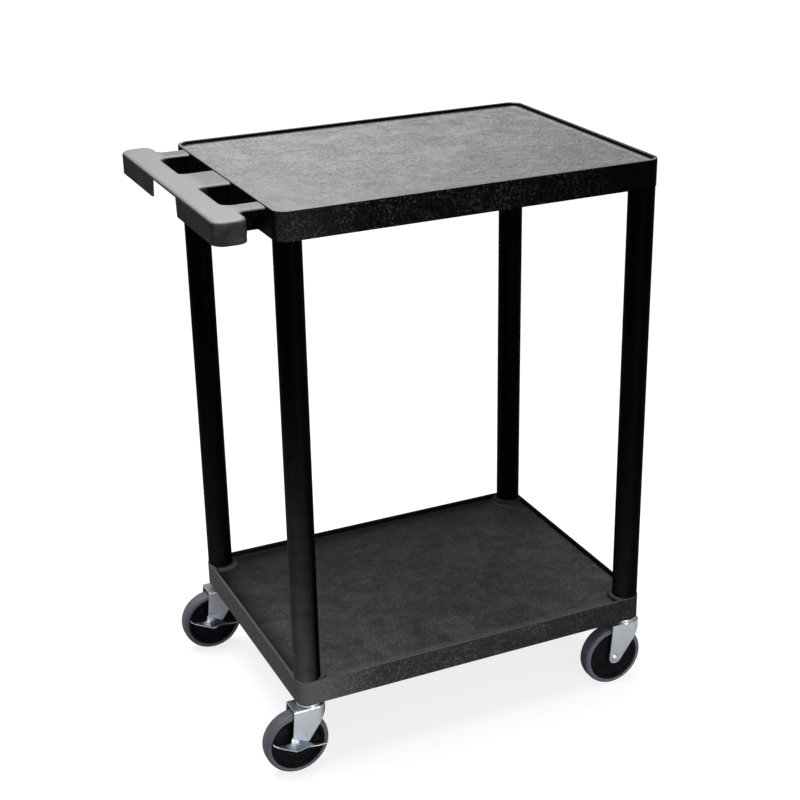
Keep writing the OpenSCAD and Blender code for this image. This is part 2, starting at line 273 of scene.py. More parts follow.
def finish_piece(obj, body, material, node):
    """Gives a piece its material, its body and the CAD node it stands for."""
    obj.data.materials.clear()
    obj.data.materials.append(MATERIALS[material])
    mod = obj.modifiers.new("weighted", "WEIGHTED_NORMAL")
    mod.keep_sharp = True
    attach(obj, body)
    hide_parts(node)


# ---------------------------------- materials

class Graph:
    """A short way to write a node material. Colours are greys from 0 to 1 or triples."""

    def __init__(self, name):
        self.material = bpy.data.materials.new(name)
        self.material.use_nodes = True
        self.tree = self.material.node_tree
        self.shader = self.tree.nodes["Principled BSDF"]
        self.position = self.node("ShaderNodeTexCoord").outputs["Object"]

    def node(self, kind, **values):
        """A new node with its settings and inputs by name."""
        n = self.tree.nodes.new(kind)
        for key, value in values.items():
            if hasattr(n, key):
                setattr(n, key, value)
            else:
                self.plug(value, n.inputs[key.replace("_", " ")])
        return n

    def plug(self, value, socket):
        """Links a socket, or sets a plain value."""
        if isinstance(value, bpy.types.NodeSocket):
            self.tree.links.new(value, socket)
        elif socket.type == "RGBA":
            socket.default_value = self.rgba(value)
        else:
            socket.default_value = value

    @staticmethod
    def rgba(colour):
        return (*(colour if isinstance(colour, (tuple, list)) else [colour] * 3), 1)

    def set(self, **values):
        """Sets the shader's inputs."""
        for key, value in values.items():
            self.plug(value, self.shader.inputs[key.replace("_", " ")])

    def noise(self, size_mm, detail=4.0, rough=0.55, warp=0.0, stretch=None):
        """Noise with features of about the given size, from 0 to 1."""
        where = self.position
        if stretch:
            where = self.node("ShaderNodeMapping", Vector=where, Scale=stretch).outputs[0]
        n = self.node("ShaderNodeTexNoise", Vector=where, Scale=1000.0 / size_mm,
                      Detail=detail, Roughness=rough, Distortion=warp)
        return n.outputs["Fac"]

    def ramp(self, value, *stops, smooth=True):
        """A ramp through two or more (position, colour) stops."""
        n = self.node("ShaderNodeValToRGB", Fac=value)
        n.color_ramp.interpolation = "EASE" if smooth else "LINEAR"
        while len(n.color_ramp.elements) < len(stops):
            n.color_ramp.elements.new(0.5)
        for element, (at, colour) in zip(n.color_ramp.elements, stops):
            element.position = at
            element.color = self.rgba(colour)
        return n.outputs["Color"]

    def math(self, operation, a, b=0.0, clamp=False):
        n = self.node("ShaderNodeMath", operation=operation, use_clamp=clamp)
        self.plug(a, n.inputs[0])
        self.plug(b, n.inputs[1])
        return n.outputs[0]

    def add(self, a, b, clamp=False):
        return self.math("ADD", a, b, clamp)

    def sub(self, a, b, clamp=False):
        return self.math("SUBTRACT", a, b, clamp)

    def mul(self, a, b, clamp=False):
        return self.math("MULTIPLY", a, b, clamp)

    def div(self, a, b, clamp=False):
        return self.math("DIVIDE", a, b, clamp)

    def mix(self, fac, a, b):
        """From colour a at 0 to colour b at 1."""
        n = self.node("ShaderNodeMix", data_type="RGBA")
        self.plug(fac, n.inputs["Factor"])
        self.plug(a, n.inputs[6])      # the node's colour inputs follow its plain and vector ones
        self.plug(b, n.inputs[7])
        return n.outputs[2]

    def scaled(self, colour, factor):
        """A colour times a factor, which may be above 1."""
        n = self.node("ShaderNodeVectorMath", operation="SCALE")
        self.plug(colour, n.inputs[0])
        self.plug(factor, n.inputs["Scale"])
        return n.outputs[0]

    def split(self, vector):
        """The outputs of a vector's parts, by "X", "Y" and "Z"."""
        return self.node("ShaderNodeSeparateXYZ", Vector=vector).outputs

    def normal(self):
        return self.node("ShaderNodeNewGeometry").outputs["Normal"]

    def bump(self, height, depth_mm, strength=1.0, after=None):
        n = self.node("ShaderNodeBump", Height=height, Strength=strength, Distance=depth_mm * MM)
        if after is not None:
            self.plug(after, n.inputs["Normal"])
        return n.outputs[0]

    def facing_up(self):
        """1 on surfaces that face up, 0 on walls."""
        return self.ramp(self.split(self.normal())["Z"], (0.35, 0.0), (0.92, 1.0))

    def edge_highlight(self, radius_mm):
        """Near 1 along convex edges."""
        bevel = self.node("ShaderNodeBevel", Radius=radius_mm * MM)
        bevel.samples = 4
        dot = self.node("ShaderNodeVectorMath", operation="DOT_PRODUCT")
        self.plug(bevel.outputs[0], dot.inputs[0])
        self.plug(self.normal(), dot.inputs[1])
        return self.ramp(dot.outputs["Value"], (0.80, 1.0), (0.985, 0.0))


def shelf_plastic(name, deck_z, *, wall, speck, deck, grip, contrast, wall_contrast, sheen, front_light,
                  lip_shade_and_light, lip_light, patchy, side_shade, right_shade):
    """Black structural foam: cloudy flow marks and a leathery grain, with pale specks on its walls.
    The decks are painted much paler than the walls, as painted light from above; the grip bar's walls are a
    grey between.

    wall, speck, deck, grip: greys of the walls, their specks, the deck and the grip bar's walls.
    contrast, wall_contrast: of the grain on the deck and on the walls.
    front_light: how much paler the deck is painted towards the front, as painted light and shade (below 0: towards the back).   lip_shade_and_light: painted shade beside the left and back lips, and a painted highlight along the front lip.
    lip_light: grey of the front and left lips' tops, of the deck's, as painted highlight; the back and right lips' tops get painted shade.   patchy: of the deck's dull patches.
    side_shade: painted shade on the walls that face left and on the handle's walls.   right_shade: painted shade, darkening the walls to the right.
    """
    g = Graph(name)
    cloud = g.noise(70, detail=5, rough=0.6, warp=0.6)
    flow = g.noise(24, detail=6, rough=0.7, warp=1.0, stretch=(0.5, 1.6, 1.0))
    grain = g.noise(3.2, detail=2.0, rough=0.7)
    scratch = g.noise(11, detail=8, rough=0.75, warp=0.5, stretch=(1.0, 5.0, 1.0))
    mottle = g.add(g.mul(cloud, 0.5), g.mul(flow, 0.5))
    fine = g.add(g.mul(mottle, 0.38), g.mul(grain, 0.62))
    up = g.facing_up()
    facing = g.split(g.normal())
    faces_left = g.ramp(g.mul(facing["X"], -1.0), (0.75, 0.0), (0.98, 1.0))

    where = g.split(g.position)
    left, front = SHELF_X - SHELF_L / 2, SHELF_Y - SHELF_W / 2
    from_left = g.sub(where["X"], left * MM)
    from_right = g.sub((left + SHELF_L) * MM, where["X"])
    from_front = g.sub(where["Y"], front * MM)
    from_back = g.sub((front + SHELF_W) * MM, where["Y"])
    edge = g.math("MINIMUM", g.math("MINIMUM", from_left, from_right),
                  g.math("MINIMUM", from_front, from_back))
    along_x = g.div(from_left, SHELF_L * MM, clamp=True)
    to_front = g.sub(0.5, g.div(where["Y"], SHELF_W * MM), clamp=True)
    left_end_light = g.sub(1.0, g.div(along_x, 0.22), clamp=True)
    on_handle = g.math("LESS_THAN", where["X"], (left - 0.6) * MM)
    on_grip = g.div(g.sub((SHELF_X + HANDLE_OUT + 55) * MM, where["X"]), 12 * MM, clamp=True)

    def by_lip(distance, reach):
        """From 1 at the lip's inner wall to 0 at the reach."""
        return g.sub(1.0, g.div(g.sub(distance, WALL * MM), reach * MM), clamp=True)

    deck_colour = g.ramp(fine, (0.40, deck * (1 - contrast)), (0.5, deck), (0.60, deck * (1 + contrast)),
                         smooth=False)
    deck_colour = g.mix(g.mul(g.ramp(scratch, (0.62, 0.0), (0.74, 1.0)), 0.2), deck_colour, deck * 0.4)
    patches = g.ramp(g.noise(48, detail=4, rough=0.65, warp=1.2), (0.40, 1.0), (0.60, 0.0))
    deck_colour = g.mix(g.mul(patches, patchy), deck_colour, 0.0)
    # Painted light and shade: the deck paler towards the front; with a factor below 0, paler towards the back
    deck_colour = g.scaled(deck_colour, g.add(g.mul(to_front, front_light), 1 - front_light * 0.62))
    # Painted shade beside the left and back lips, then a painted highlight along the front lip
    painted_lip_shade = g.math("POWER", by_lip(g.math("MINIMUM", from_left, from_back), 42), 1.4)
    deck_colour = g.mix(g.mul(painted_lip_shade, lip_shade_and_light), deck_colour, 0.0)
    deck_colour = g.mix(g.mul(by_lip(from_front, 24), lip_shade_and_light * 0.7), deck_colour, deck * 2.8)
    # Painted highlight on the front and left lips' tops, painted shade on the back and right lips' tops
    on_lip = g.mul(g.math("GREATER_THAN", where["Z"], (deck_z + 5.0) * MM),
                   g.math("LESS_THAN", edge, WALL * 1.2 * MM))
    near_lips = g.math("LESS_THAN", g.math("MINIMUM", from_left, from_front), WALL * 1.2 * MM)
    deck_colour = g.mix(on_lip, deck_colour, g.mix(near_lips, deck * 0.1, deck * lip_light))
    deck_colour = g.mix(on_grip, deck_colour, deck * 1.25)

    specks = g.mul(g.ramp(grain, (0.52, 0.0), (0.70, 1.0)), g.ramp(cloud, (0.42, 0.1), (0.56, 1.0)))
    # Painted light: more specks towards the handle end
    specks = g.mul(specks, g.add(g.mul(left_end_light, 1.2), 1.0), clamp=True)
    wall_colour = g.ramp(fine, (0.40, wall * (1 - wall_contrast)), (0.5, wall),
                         (0.60, wall * (1 + wall_contrast)))
    wall_colour = g.mix(g.mul(specks, wall_contrast), wall_colour, speck)
    # Painted light: walls paler towards the handle end
    wall_colour = g.mix(g.mul(left_end_light, 1 - wall_contrast), wall_colour, speck)
    # Painted shade: walls darker towards the right
    wall_colour = g.mix(g.mul(g.math("POWER", along_x, 1.5), right_shade), wall_colour, wall * 0.1)
    # Painted shade on the lip's inner walls
    to_middle = g.add(g.mul(facing["X"], g.sub(SHELF_X * MM, where["X"])),
                      g.mul(facing["Y"], g.sub(SHELF_Y * MM, where["Y"])))
    inner_lip_shade = g.mul(g.math("GREATER_THAN", where["Z"], (deck_z + 0.3) * MM),
                      g.math("GREATER_THAN", to_middle, 0.02))
    inner_lip_shade = g.mul(inner_lip_shade, g.math("LESS_THAN", edge, WALL * 1.8 * MM))
    wall_colour = g.mix(g.mul(inner_lip_shade, 0.9), wall_colour, 0.0)
    # Painted shade on walls that face left and on the handle's walls
    wall_colour = g.mix(g.mul(g.math("MAXIMUM", faces_left, on_handle), side_shade), wall_colour, 0.0)
    grip_colour = g.ramp(mottle, (0.38, grip * 0.6), (0.62, grip * 1.8))
    # Painted shade on the grip's walls that face left
    grip_colour = g.mix(g.mul(faces_left, 0.5), grip_colour, 0.0)
    wall_colour = g.mix(on_grip, wall_colour, grip_colour)

    # Painted light: the deck grey on faces that look up is much paler than the walls' grey
    g.set(Base_Color=g.mix(up, wall_colour, deck_colour))
    wall_rough = g.ramp(mottle, (0.4, 0.50), (0.6, 0.62))
    deck_rough = g.ramp(fine, (0.40, 0.40), (0.60, 0.56))
    g.set(Roughness=g.mix(up, wall_rough, deck_rough))
    g.set(Normal=g.bump(grain, 0.25, 0.7, after=g.bump(mottle, 0.3, 0.3)))
    g.set(Specular_IOR_Level=g.mix(up, 0.012, sheen))
    return g.material


def leg_plastic():
    """Satin black tube with faint drawn lines along it, and painted light near the foot on its left side,
    mostly on the front leg at the handle end.
    """
    g = Graph("leg_plastic")
    lines = g.noise(1.6, detail=3, stretch=(1.0, 1.0, 0.03))
    cloud = g.noise(35, detail=4, warp=0.8)
    fine = g.noise(0.9, detail=2)
    where = g.split(g.position)
    low = g.sub(1.0, g.div(where["Z"], 0.75), clamp=True)
    to_handle_end = g.sub(0.55, g.div(g.sub(where["X"], SHELF_X * MM), SHELF_L * MM))
    nearer = g.sub(0.62, g.div(where["Y"], SHELF_W * MM), clamp=True)
    faces_left = g.sub(0.42, g.mul(g.split(g.normal())["X"], 0.85), clamp=True)
    # Painted light near the foot, on the left side, on the front legs at the handle end
    foot_light = g.mul(g.math("POWER", low, 2.4), g.ramp(cloud, (0.25, 0.6), (0.7, 1.0)))
    foot_light = g.mul(g.mul(foot_light, g.mul(to_handle_end, nearer), clamp=True), faces_left)
    base = g.ramp(lines, (0.3, 0.0003), (0.7, 0.0009))
    colour = g.mix(foot_light, base, (0.12, 0.12, 0.122))
    g.set(Base_Color=colour, Roughness=g.ramp(cloud, (0.3, 0.40), (0.7, 0.50)))
    g.set(Specular_IOR_Level=0.006)
    g.set(Normal=g.bump(g.add(lines, fine), 0.03, 0.5))
    return g.material


def core_plastic():
    """Dark moulded polyolefin, semi-gloss and faintly cloudy."""
    g = Graph("core_plastic")
    cloud = g.noise(12, detail=4, warp=0.8)
    fine = g.noise(0.8, detail=2)
    colour = g.ramp(cloud, (0.3, (0.003, 0.0028, 0.0036)), (0.7, (0.007, 0.0065, 0.008)))
    g.set(Base_Color=colour, Roughness=g.ramp(cloud, (0.3, 0.26), (0.7, 0.38)))
    g.set(Specular_IOR_Level=0.04)
    g.set(Normal=g.bump(g.add(cloud, fine), 0.05, 0.4))
    return g.material


def tyre_rubber():
    """Grey thermoplastic rubber, a little violet, cloudy with fine dull specks."""
    g = Graph("tyre_rubber")
    cloud = g.noise(14, detail=5, warp=0.7)
    fine = g.noise(0.7, detail=3, rough=0.7)
    specks = g.ramp(g.noise(2.0, detail=2), (0.62, 0.0), (0.72, 1.0))
    colour = g.ramp(cloud, (0.25, (0.067, 0.071, 0.092)), (0.75, (0.097, 0.100, 0.125)))
    colour = g.mix(g.mul(specks, 0.35), colour, (0.07, 0.07, 0.075))
    g.set(Base_Color=colour, Roughness=g.ramp(cloud, (0.3, 0.52), (0.7, 0.64)))
    g.set(Specular_IOR_Level=0.4)
    g.set(Normal=g.bump(g.add(fine, cloud), 0.05, 0.5))
    return g.material


def plated_steel(name, base, rough, grain_mm, bluish=0.0, edge_glint=0.6, stretch=(1.0, 1.0, 0.12)):
    """Plated sheet: rolled grain, cloudy passivation and painted highlights along its edges."""
    g = Graph(name)
    cloud = g.noise(9, detail=5, warp=1.5)
    roll = g.noise(grain_mm, detail=4, rough=0.6, stretch=stretch)
    tint = tuple(c * k for c, k in zip(base, (1 - bluish, 1 - bluish * 0.4, 1 + bluish)))
    colour = g.mix(g.ramp(cloud, (0.3, 0.0), (0.7, 1.0)), tuple(c * 0.90 for c in tint), tint)
    # Painted highlights along the edges
    colour = g.mix(g.mul(g.edge_highlight(0.5), edge_glint), colour, (0.92, 0.93, 0.95))
    spread = g.add(g.mul(roll, 0.12), g.mul(cloud, 0.10))
    g.set(Base_Color=colour, Metallic=1.0, Roughness=g.add(spread, rough))
    g.set(Normal=g.bump(g.add(roll, cloud), 0.03, 0.25))
    return g.material


MATERIALS = {
    # The two shelves are one plastic; the lower's walls are painted paler and its deck darker than the top's,
    # as painted light and shade
    "top_shelf": shelf_plastic(
        "shelf_plastic_top", TOP_DECK, wall=0.0045, speck=0.070, deck=0.096, grip=0.040, contrast=0.38,
        wall_contrast=0.8, sheen=0.42, front_light=-0.3, lip_shade_and_light=0.0, lip_light=0.8, patchy=0.20,
        side_shade=0.92, right_shade=1.0),
    "lower_shelf": shelf_plastic(
        "shelf_plastic_lower", LOWER_DECK, wall=0.028, speck=0.13, deck=0.056, grip=0.02, contrast=0.52,
        wall_contrast=0.4, sheen=0.07, front_light=1.25, lip_shade_and_light=0.9, lip_light=1.5, patchy=0.28,
        side_shade=0.0, right_shade=0.5),
    "leg": leg_plastic(),
    "core": core_plastic(),
    "tyre": tyre_rubber(),
    "zinc": plated_steel("zinc_plate", (0.66, 0.68, 0.72), rough=0.20, grain_mm=0.9, bluish=0.02),
    "pedal": plated_steel("pedal_steel", (0.60, 0.66, 0.74), rough=0.18, grain_mm=1.2, bluish=0.03, edge_glint=0.8,
                          stretch=(0.15, 1.0, 1.0)),
    "cam": plated_steel("cam_zinc", (0.74, 0.82, 0.92), rough=0.12, grain_mm=0.9, bluish=0.04, edge_glint=0.5),
    "steel": plated_steel("bright_steel", (0.58, 0.59, 0.61), rough=0.22, grain_mm=0.6),
}


# ---------------------------------- shelves

CORNER_STEPS = 14
CORNER_TURNS = ((0, 1, 1), (90, -1, 1), (180, -1, -1), (270, 1, -1))    # start angle, side in X, side in Y
LIP_EDGE = 1.5                       # radius of the lip's top edges
FILLET = 6.5                         # radius where the lip's inner wall meets the deck
APRON_DRAFT = 0.4                    # the apron gets this much thinner towards its foot
APRON_FOOT = 1.0                     # radius of the apron's lower edges
RIB_RISE = 14.0                      # from the apron's foot to the ribs' lower edge
LONG_RIBS, CROSS_RIBS = 3, 5


def round_rect(inset, z):
    """Ring of the shelf's outline, drawn inwards."""
    points = []
    for start, sx, sy in CORNER_TURNS:
        points += arc(sx * CORNER_X, sy * CORNER_Y, CORNER_R - inset, start, start + 90, CORNER_STEPS)
    return [(x, y, z) for x, y in points]


def boss_ring(offset, z):
    """Ring of the tray with its corners cut round by the leg bosses, drawn in from the lip's inner wall."""
    r = BOSS_R + offset
    side = math.degrees(math.asin((CORNER_R - WALL - offset) / r))
    points = []
    for start, sx, sy in CORNER_TURNS:
        # The arc runs on the tray's side of the boss, from one lip to the other
        points += arc(sx * CORNER_X, sy * CORNER_Y, r, start + 270 + side, start + 180 - side, CORNER_STEPS)
    return [(x, y, z) for x, y in points]


def shelf_shell(low, high, deck, tray):
    """The tray and its apron as one skin, from the hollow underneath over the lip to the deck. tray gives
    a ring of the tray's outline, drawn in from the lip's inner wall."""
    ceiling = deck - DECK_T
    inside = WALL - APRON_DRAFT
    ease = APRON_FOOT * 0.3
    profile = [
        (WALL + 0.6, ceiling), (WALL, ceiling - 0.6),
        (inside, low + APRON_FOOT), (inside - ease, low + ease), (inside - APRON_FOOT, low),
        (APRON_FOOT, low), (ease, low + ease), (0, low + APRON_FOOT),
    ]
    turn = quarter(4)
    profile += [(LIP_EDGE * (1 - c), high - LIP_EDGE * (1 - s)) for s, c in turn]
    rings = [round_rect(inset, z) for inset, z in profile]
    rings += [tray(-LIP_EDGE * (1 - s), high - LIP_EDGE * (1 - c)) for s, c in turn]
    rings += [tray(0.3 + FILLET * (1 - c), deck + FILLET * (1 - s)) for s, c in turn]
    return loft(rings)


def ribs(low, ceiling):
    """Crossed stiffening ribs under a deck, with draft."""
    foot, top = 1.1, 1.6             # half thicknesses
    levels = ((foot - 0.4, low), (foot, low + 0.4), (top, ceiling + 1))
    into_wall = 2.0
    parts = []
    half = SHELF_L / 2 - WALL + into_wall
    for i in range(LONG_RIBS):
        y = SHELF_W * ((i + 1) / (LONG_RIBS + 1) - 0.5)
        parts.append(loft([
            [(-half, y - w, z), (half, y - w, z), (half, y + w, z), (-half, y + w, z)] for w, z in levels
        ]))
    half = SHELF_W / 2 - WALL + into_wall
    for i in range(CROSS_RIBS):
        x = SHELF_L * ((i + 1) / (CROSS_RIBS + 1) - 0.5)
        parts.append(loft([
            [(x - w, -half, z), (x + w, -half, z), (x + w, half, z), (x - w, half, z)] for w, z in levels
        ]))
    return parts


def sockets(low, ceiling):
    """The solid ends that hold the legs and the caster stems, one in each corner."""
    part = lathe([(0, low + 0.05), (CORNER_R - 1.6, low + 0.05), (CORNER_R - 0.9, low + 0.8),
                  (CORNER_R - 0.6, ceiling + 2), (0, ceiling + 2)])
    return [
        moved(part, lambda v, sx=sx, sy=sy: (v[0] + sx * CORNER_X, v[1] + sy * CORNER_Y, v[2]))
        for sx in (-1, 1) for sy in (-1, 1)
    ]


def on_shelf(name, part):
    return new_object(name, *moved(part, lambda v: (v[0] + SHELF_X, v[1] + SHELF_Y, v[2])))


def shelf(node, low, high, deck, tray, extra=()):
    """A whole shelf moulding: its shell, then any extra parts, the ribs and the sockets joined to it."""
    obj = on_shelf(node + "_moulding", shelf_shell(low, high, deck, tray))
    ceiling = deck - DECK_T
    parts = list(extra)
    parts += [on_shelf("rib", r) for r in ribs(low + RIB_RISE, ceiling)]
    parts += [on_shelf("socket", p) for p in sockets(low, ceiling)]
    join(obj, parts)
    shade(obj.data)
    finish_piece(obj, "frame", node, node)


def lower_shelf():
    shelf("lower_shelf", LOWER_LOW.z, LOWER_HIGH.z, LOWER_DECK, boss_ring)


# ---------------------------------- push handle

HANDLE_TOP = TOP_DECK + 6
HANDLE_T = 3.5
BAR_HALF = (TOP_HIGH.y - TOP_LOW.y) / 2
BAR_W, END_W = 40.0, 50.0            # the bar is wider at its ends, outside the arms
# In Y from the middle: a grip pocket's two sides and the outer arm's outer side
POCKET_IN, POCKET_OUT, ARM_OUT = 42.0, 148.0, 184.0
END_R, POCKET_R, POCKET_INNER_R, ARM_FILLET_R = 18.0, 14.0, 6.0, 10.0
NOTCH_ROOF, NOTCH_FOOT = 58.0, 61.0  # half lengths of the cut in the bar's skirt
ROLL_IN, ROLL_DOWN = 7.0, 5.0        # reach of the handle's rolled top edges
# Depth of each part's wall
FEET = {"skirt": 34.0, "arm": 22.0, "web": 13.0, "pocket": 40.0, "notch": 6.0}


def handle_outline(t):
    """Half of the comb-shaped outline on the +Y side, from the middle of the bar's outer edge round to the
    middle arm, drawn in by t, as (x, y, tag); the tag tells how deep the wall is there."""
    root = -SHELF_L / 2 + 2.5        # inside the shelf's apron
    step = root - 22.5               # where the outer arms' walls get shallower
    out_x, in_x = HANDLE_OUT, HANDLE_OUT + BAR_W
    end_x = HANDLE_OUT + END_W
    crisp = 0.2                      # over this length a wall's depth changes

    def curve(tag, *about):
        return [(x, y, tag) for x, y in arc(*about)]

    pts = [(out_x + t, y, "skirt") for y in (NOTCH_FOOT, 90.0, 130.0, 170.0)]
    pts += curve("skirt", out_x + END_R, BAR_HALF - END_R, END_R - t, 180, 90, 8)
    pts += curve("skirt", end_x - END_R, BAR_HALF - END_R, END_R - t, 90, 0, 8)
    pts += curve("skirt", end_x + ARM_FILLET_R, ARM_OUT + ARM_FILLET_R, ARM_FILLET_R + t, 180, 270, 6)
    arm = [(end_x + ARM_FILLET_R + crisp, "arm"), (step, "arm"), (step + crisp, "web"), (root, "web")]
    pts += [(x, ARM_OUT - t, tag) for x, tag in arm]
    pts += [(x, POCKET_OUT + t, "pocket") for x in (root, step)]
    pts += curve("pocket", in_x + POCKET_R, POCKET_OUT - POCKET_R, POCKET_R + t, 90, 180, 6)
    pts += curve("pocket", in_x + POCKET_INNER_R, POCKET_IN + POCKET_INNER_R, POCKET_INNER_R + t, 180, 270, 5)
    pts += [(x, POCKET_IN - t, "pocket") for x in (step, root)]
    return pts


def handle_ring(t, height):
    """Closed ring of the handle; height gives a point's z from its tag."""
    half = handle_outline(t)
    other = [(x, -y, tag) for x, y, tag in reversed(half)]
    middle = [(HANDLE_OUT + t, y, "notch") for y in (-NOTCH_ROOF, 0, NOTCH_ROOF)]
    return [(x, y, height(tag)) for x, y, tag in half + other + middle]


def push_handle():
    """Hollow from below; its bar's skirt is the deepest wall and is cut away in the middle outside."""
    def level(z):
        return lambda tag: z

    def above_foot(rise):
        return lambda tag: HANDLE_TOP - FEET[tag] + rise

    rings = [handle_ring(ROLL_IN * (1 - s), level(HANDLE_TOP - ROLL_DOWN * (1 - c))) for s, c in quarter(5)]
    for inset, rise in ((0, 0.7), (0.2, 0.2), (0.7, 0)):
        rings.append(handle_ring(inset, above_foot(rise)))
    for inset, rise in ((0.7, 0), (0.2, 0.2), (0, 0.7)):
        rings.append(handle_ring(HANDLE_T - inset, above_foot(rise)))
    rings.append(handle_ring(HANDLE_T, level(HANDLE_TOP - 4.8)))
    return loft(rings)


def top_shelf():
    def tray(offset, z):
        return round_rect(WALL + offset, z)

    handle = on_shelf("push_handle", push_handle())
    shelf("top_shelf", TOP_LOW.z, TOP_HIGH.z, TOP_DECK, tray, [handle])


# ---------------------------------- legs

def leg(corner):
    """Tube with eased shoulders, which leave a fine dark line where it meets each shelf."""
    sx, sy = CORNERS[corner]
    low, high = LOWER_HIGH.z, TOP_LOW.z
    spigot_r, bore_r = LEG_R - 3, LEG_R - 6.5
    ease, lead = 0.7, 0.6
    profile = [
        (bore_r, LEG_LOW.z), (spigot_r - lead, LEG_LOW.z), (spigot_r, LEG_LOW.z + lead), (spigot_r, low),
        (LEG_R - ease, low), (LEG_R - ease * 0.3, low + ease * 0.3), (LEG_R, low + ease),
        (LEG_R, low + (high - low) / 3), (LEG_R, low + (high - low) * 2 / 3),
        (LEG_R, high - ease), (LEG_R - ease * 0.3, high - ease * 0.3), (LEG_R - ease, high),
        (spigot_r, high), (spigot_r, LEG_HIGH.z - lead), (spigot_r - lead, LEG_HIGH.z), (bore_r, LEG_HIGH.z),
    ]
    part = moved(lathe(profile), lambda v: (v[0] + sx * CORNER_X, v[1] + sy * CORNER_Y, v[2]))
    obj = on_shelf("leg_tube_" + corner, part)
    finish_piece(obj, "frame", "leg", "leg_" + corner)


# ---------------------------------- casters

def caster_place(corner):
    """From a caster's own frame, with its axis at the origin and +Y towards the front, to the CAD frame."""
    sx, sy = CORNERS[corner]
    return lambda v: (v[0] + SHELF_X + sx * CORNER_X, SHELF_Y + sy * CORNER_Y - v[1], v[2])


def about_axle(part):
    """A part turned about Z becomes one turned about the axle, with +Z outwards."""
    return moved(part, lambda v: (v[0] - TRAIL, v[2], v[1] + AXLE_Z))


def caster_piece(node, kind, corner, part, body, material, smooth_angle=35, ease=0.0):
    """Puts one caster's part in its place as a finished piece; node and body are without the corner."""
    obj = new_object(f"{node}_{kind}_{corner}", *moved(part, caster_place(corner)), smooth_angle)
    if ease:
        ease_edges(obj, ease)
    finish_piece(obj, body if body == "frame" else f"{body}_{corner}", material, f"{node}_{corner}")


def raceway(corner):
    """Pressed dish with a groove round its outer wall."""
    box_low, box_high = box_mm("raceway_" + corner)
    low, high = box_low.z, box_high.z
    r = (box_high.x - box_low.x) / 2
    outline = [
        (5.7, high - 1.8), (r - 5.5, high - 1.8, 0.8), (r - 1.8, high - 2.6, 0.8), (r - 1.8, low, 0.3),
        (r, low, 0.5), (r, low + 1.5, 0.5), (r - 0.9, low + 2.1, 0.4), (r - 0.9, high - 3.0, 0.4),
        (r, high - 2.4, 0.4), (r, high - 0.8, 0.8), (r - 3.0, high, 1.0), (r - 6.0, high, 0.8),
        (r - 7.0, high - 0.7, 0.6), (9.2, high - 0.7, 0.4), (9.2, high, 0.3), (5.7, high),
    ]
    part = lathe(rounded_profile(outline, 0.0))
    caster_piece("raceway", "dish", corner, part, "frame", "zinc")


def fork_columns():
    """One side of the fork as columns from its top edge to its lower edge, from the open back round to
    the middle of the nose: (top x, top y, bottom x, bottom y, bottom z). Also half its width and the x
    where the nose's round starts."""
    low, high = box_mm("fork_front_left")
    half = (high.y - low.y) / 2
    front = high.x - (SHELF_X - CORNER_X)
    nose = front - half
    back, tip_r = -30.0, 11.0
    knee, brow = (14.0, 86.0), (front + 1.0, 103.0)       # bends of the lower edge, in x and z
    dx, dz = knee[0] + TRAIL, knee[1] - AXLE_Z
    tangent = math.degrees(math.atan2(dz, dx) - math.acos(tip_r / math.hypot(dx, dz)))
    foot = arc(-TRAIL, AXLE_Z, tip_r, 180, 360 + tangent, 16)

    def under(x):
        """Height of the lower edge between the tip and the front."""
        a, b = (foot[-1], knee) if x < knee[0] else (knee, brow)
        return a[1] + (b[1] - a[1]) * (x - a[0]) / (b[0] - a[0])

    straight = [foot[-1][0] + (nose - foot[-1][0]) * (i + 1) / 5 for i in range(5)]
    lower = foot + [(x, under(x)) for x in straight]
    last = len(lower) - 1
    columns = [(back + (nose - back) * i / last, half, x, half, z) for i, (x, z) in enumerate(lower)]
    steps = 16
    for i in range(1, steps + 1):
        a = math.radians(90 - 90 * i / steps)
        x, y = nose + half * math.cos(a), half * math.sin(a)
        columns.append((x, y, x, y, under(x)))
    return columns, half, nose


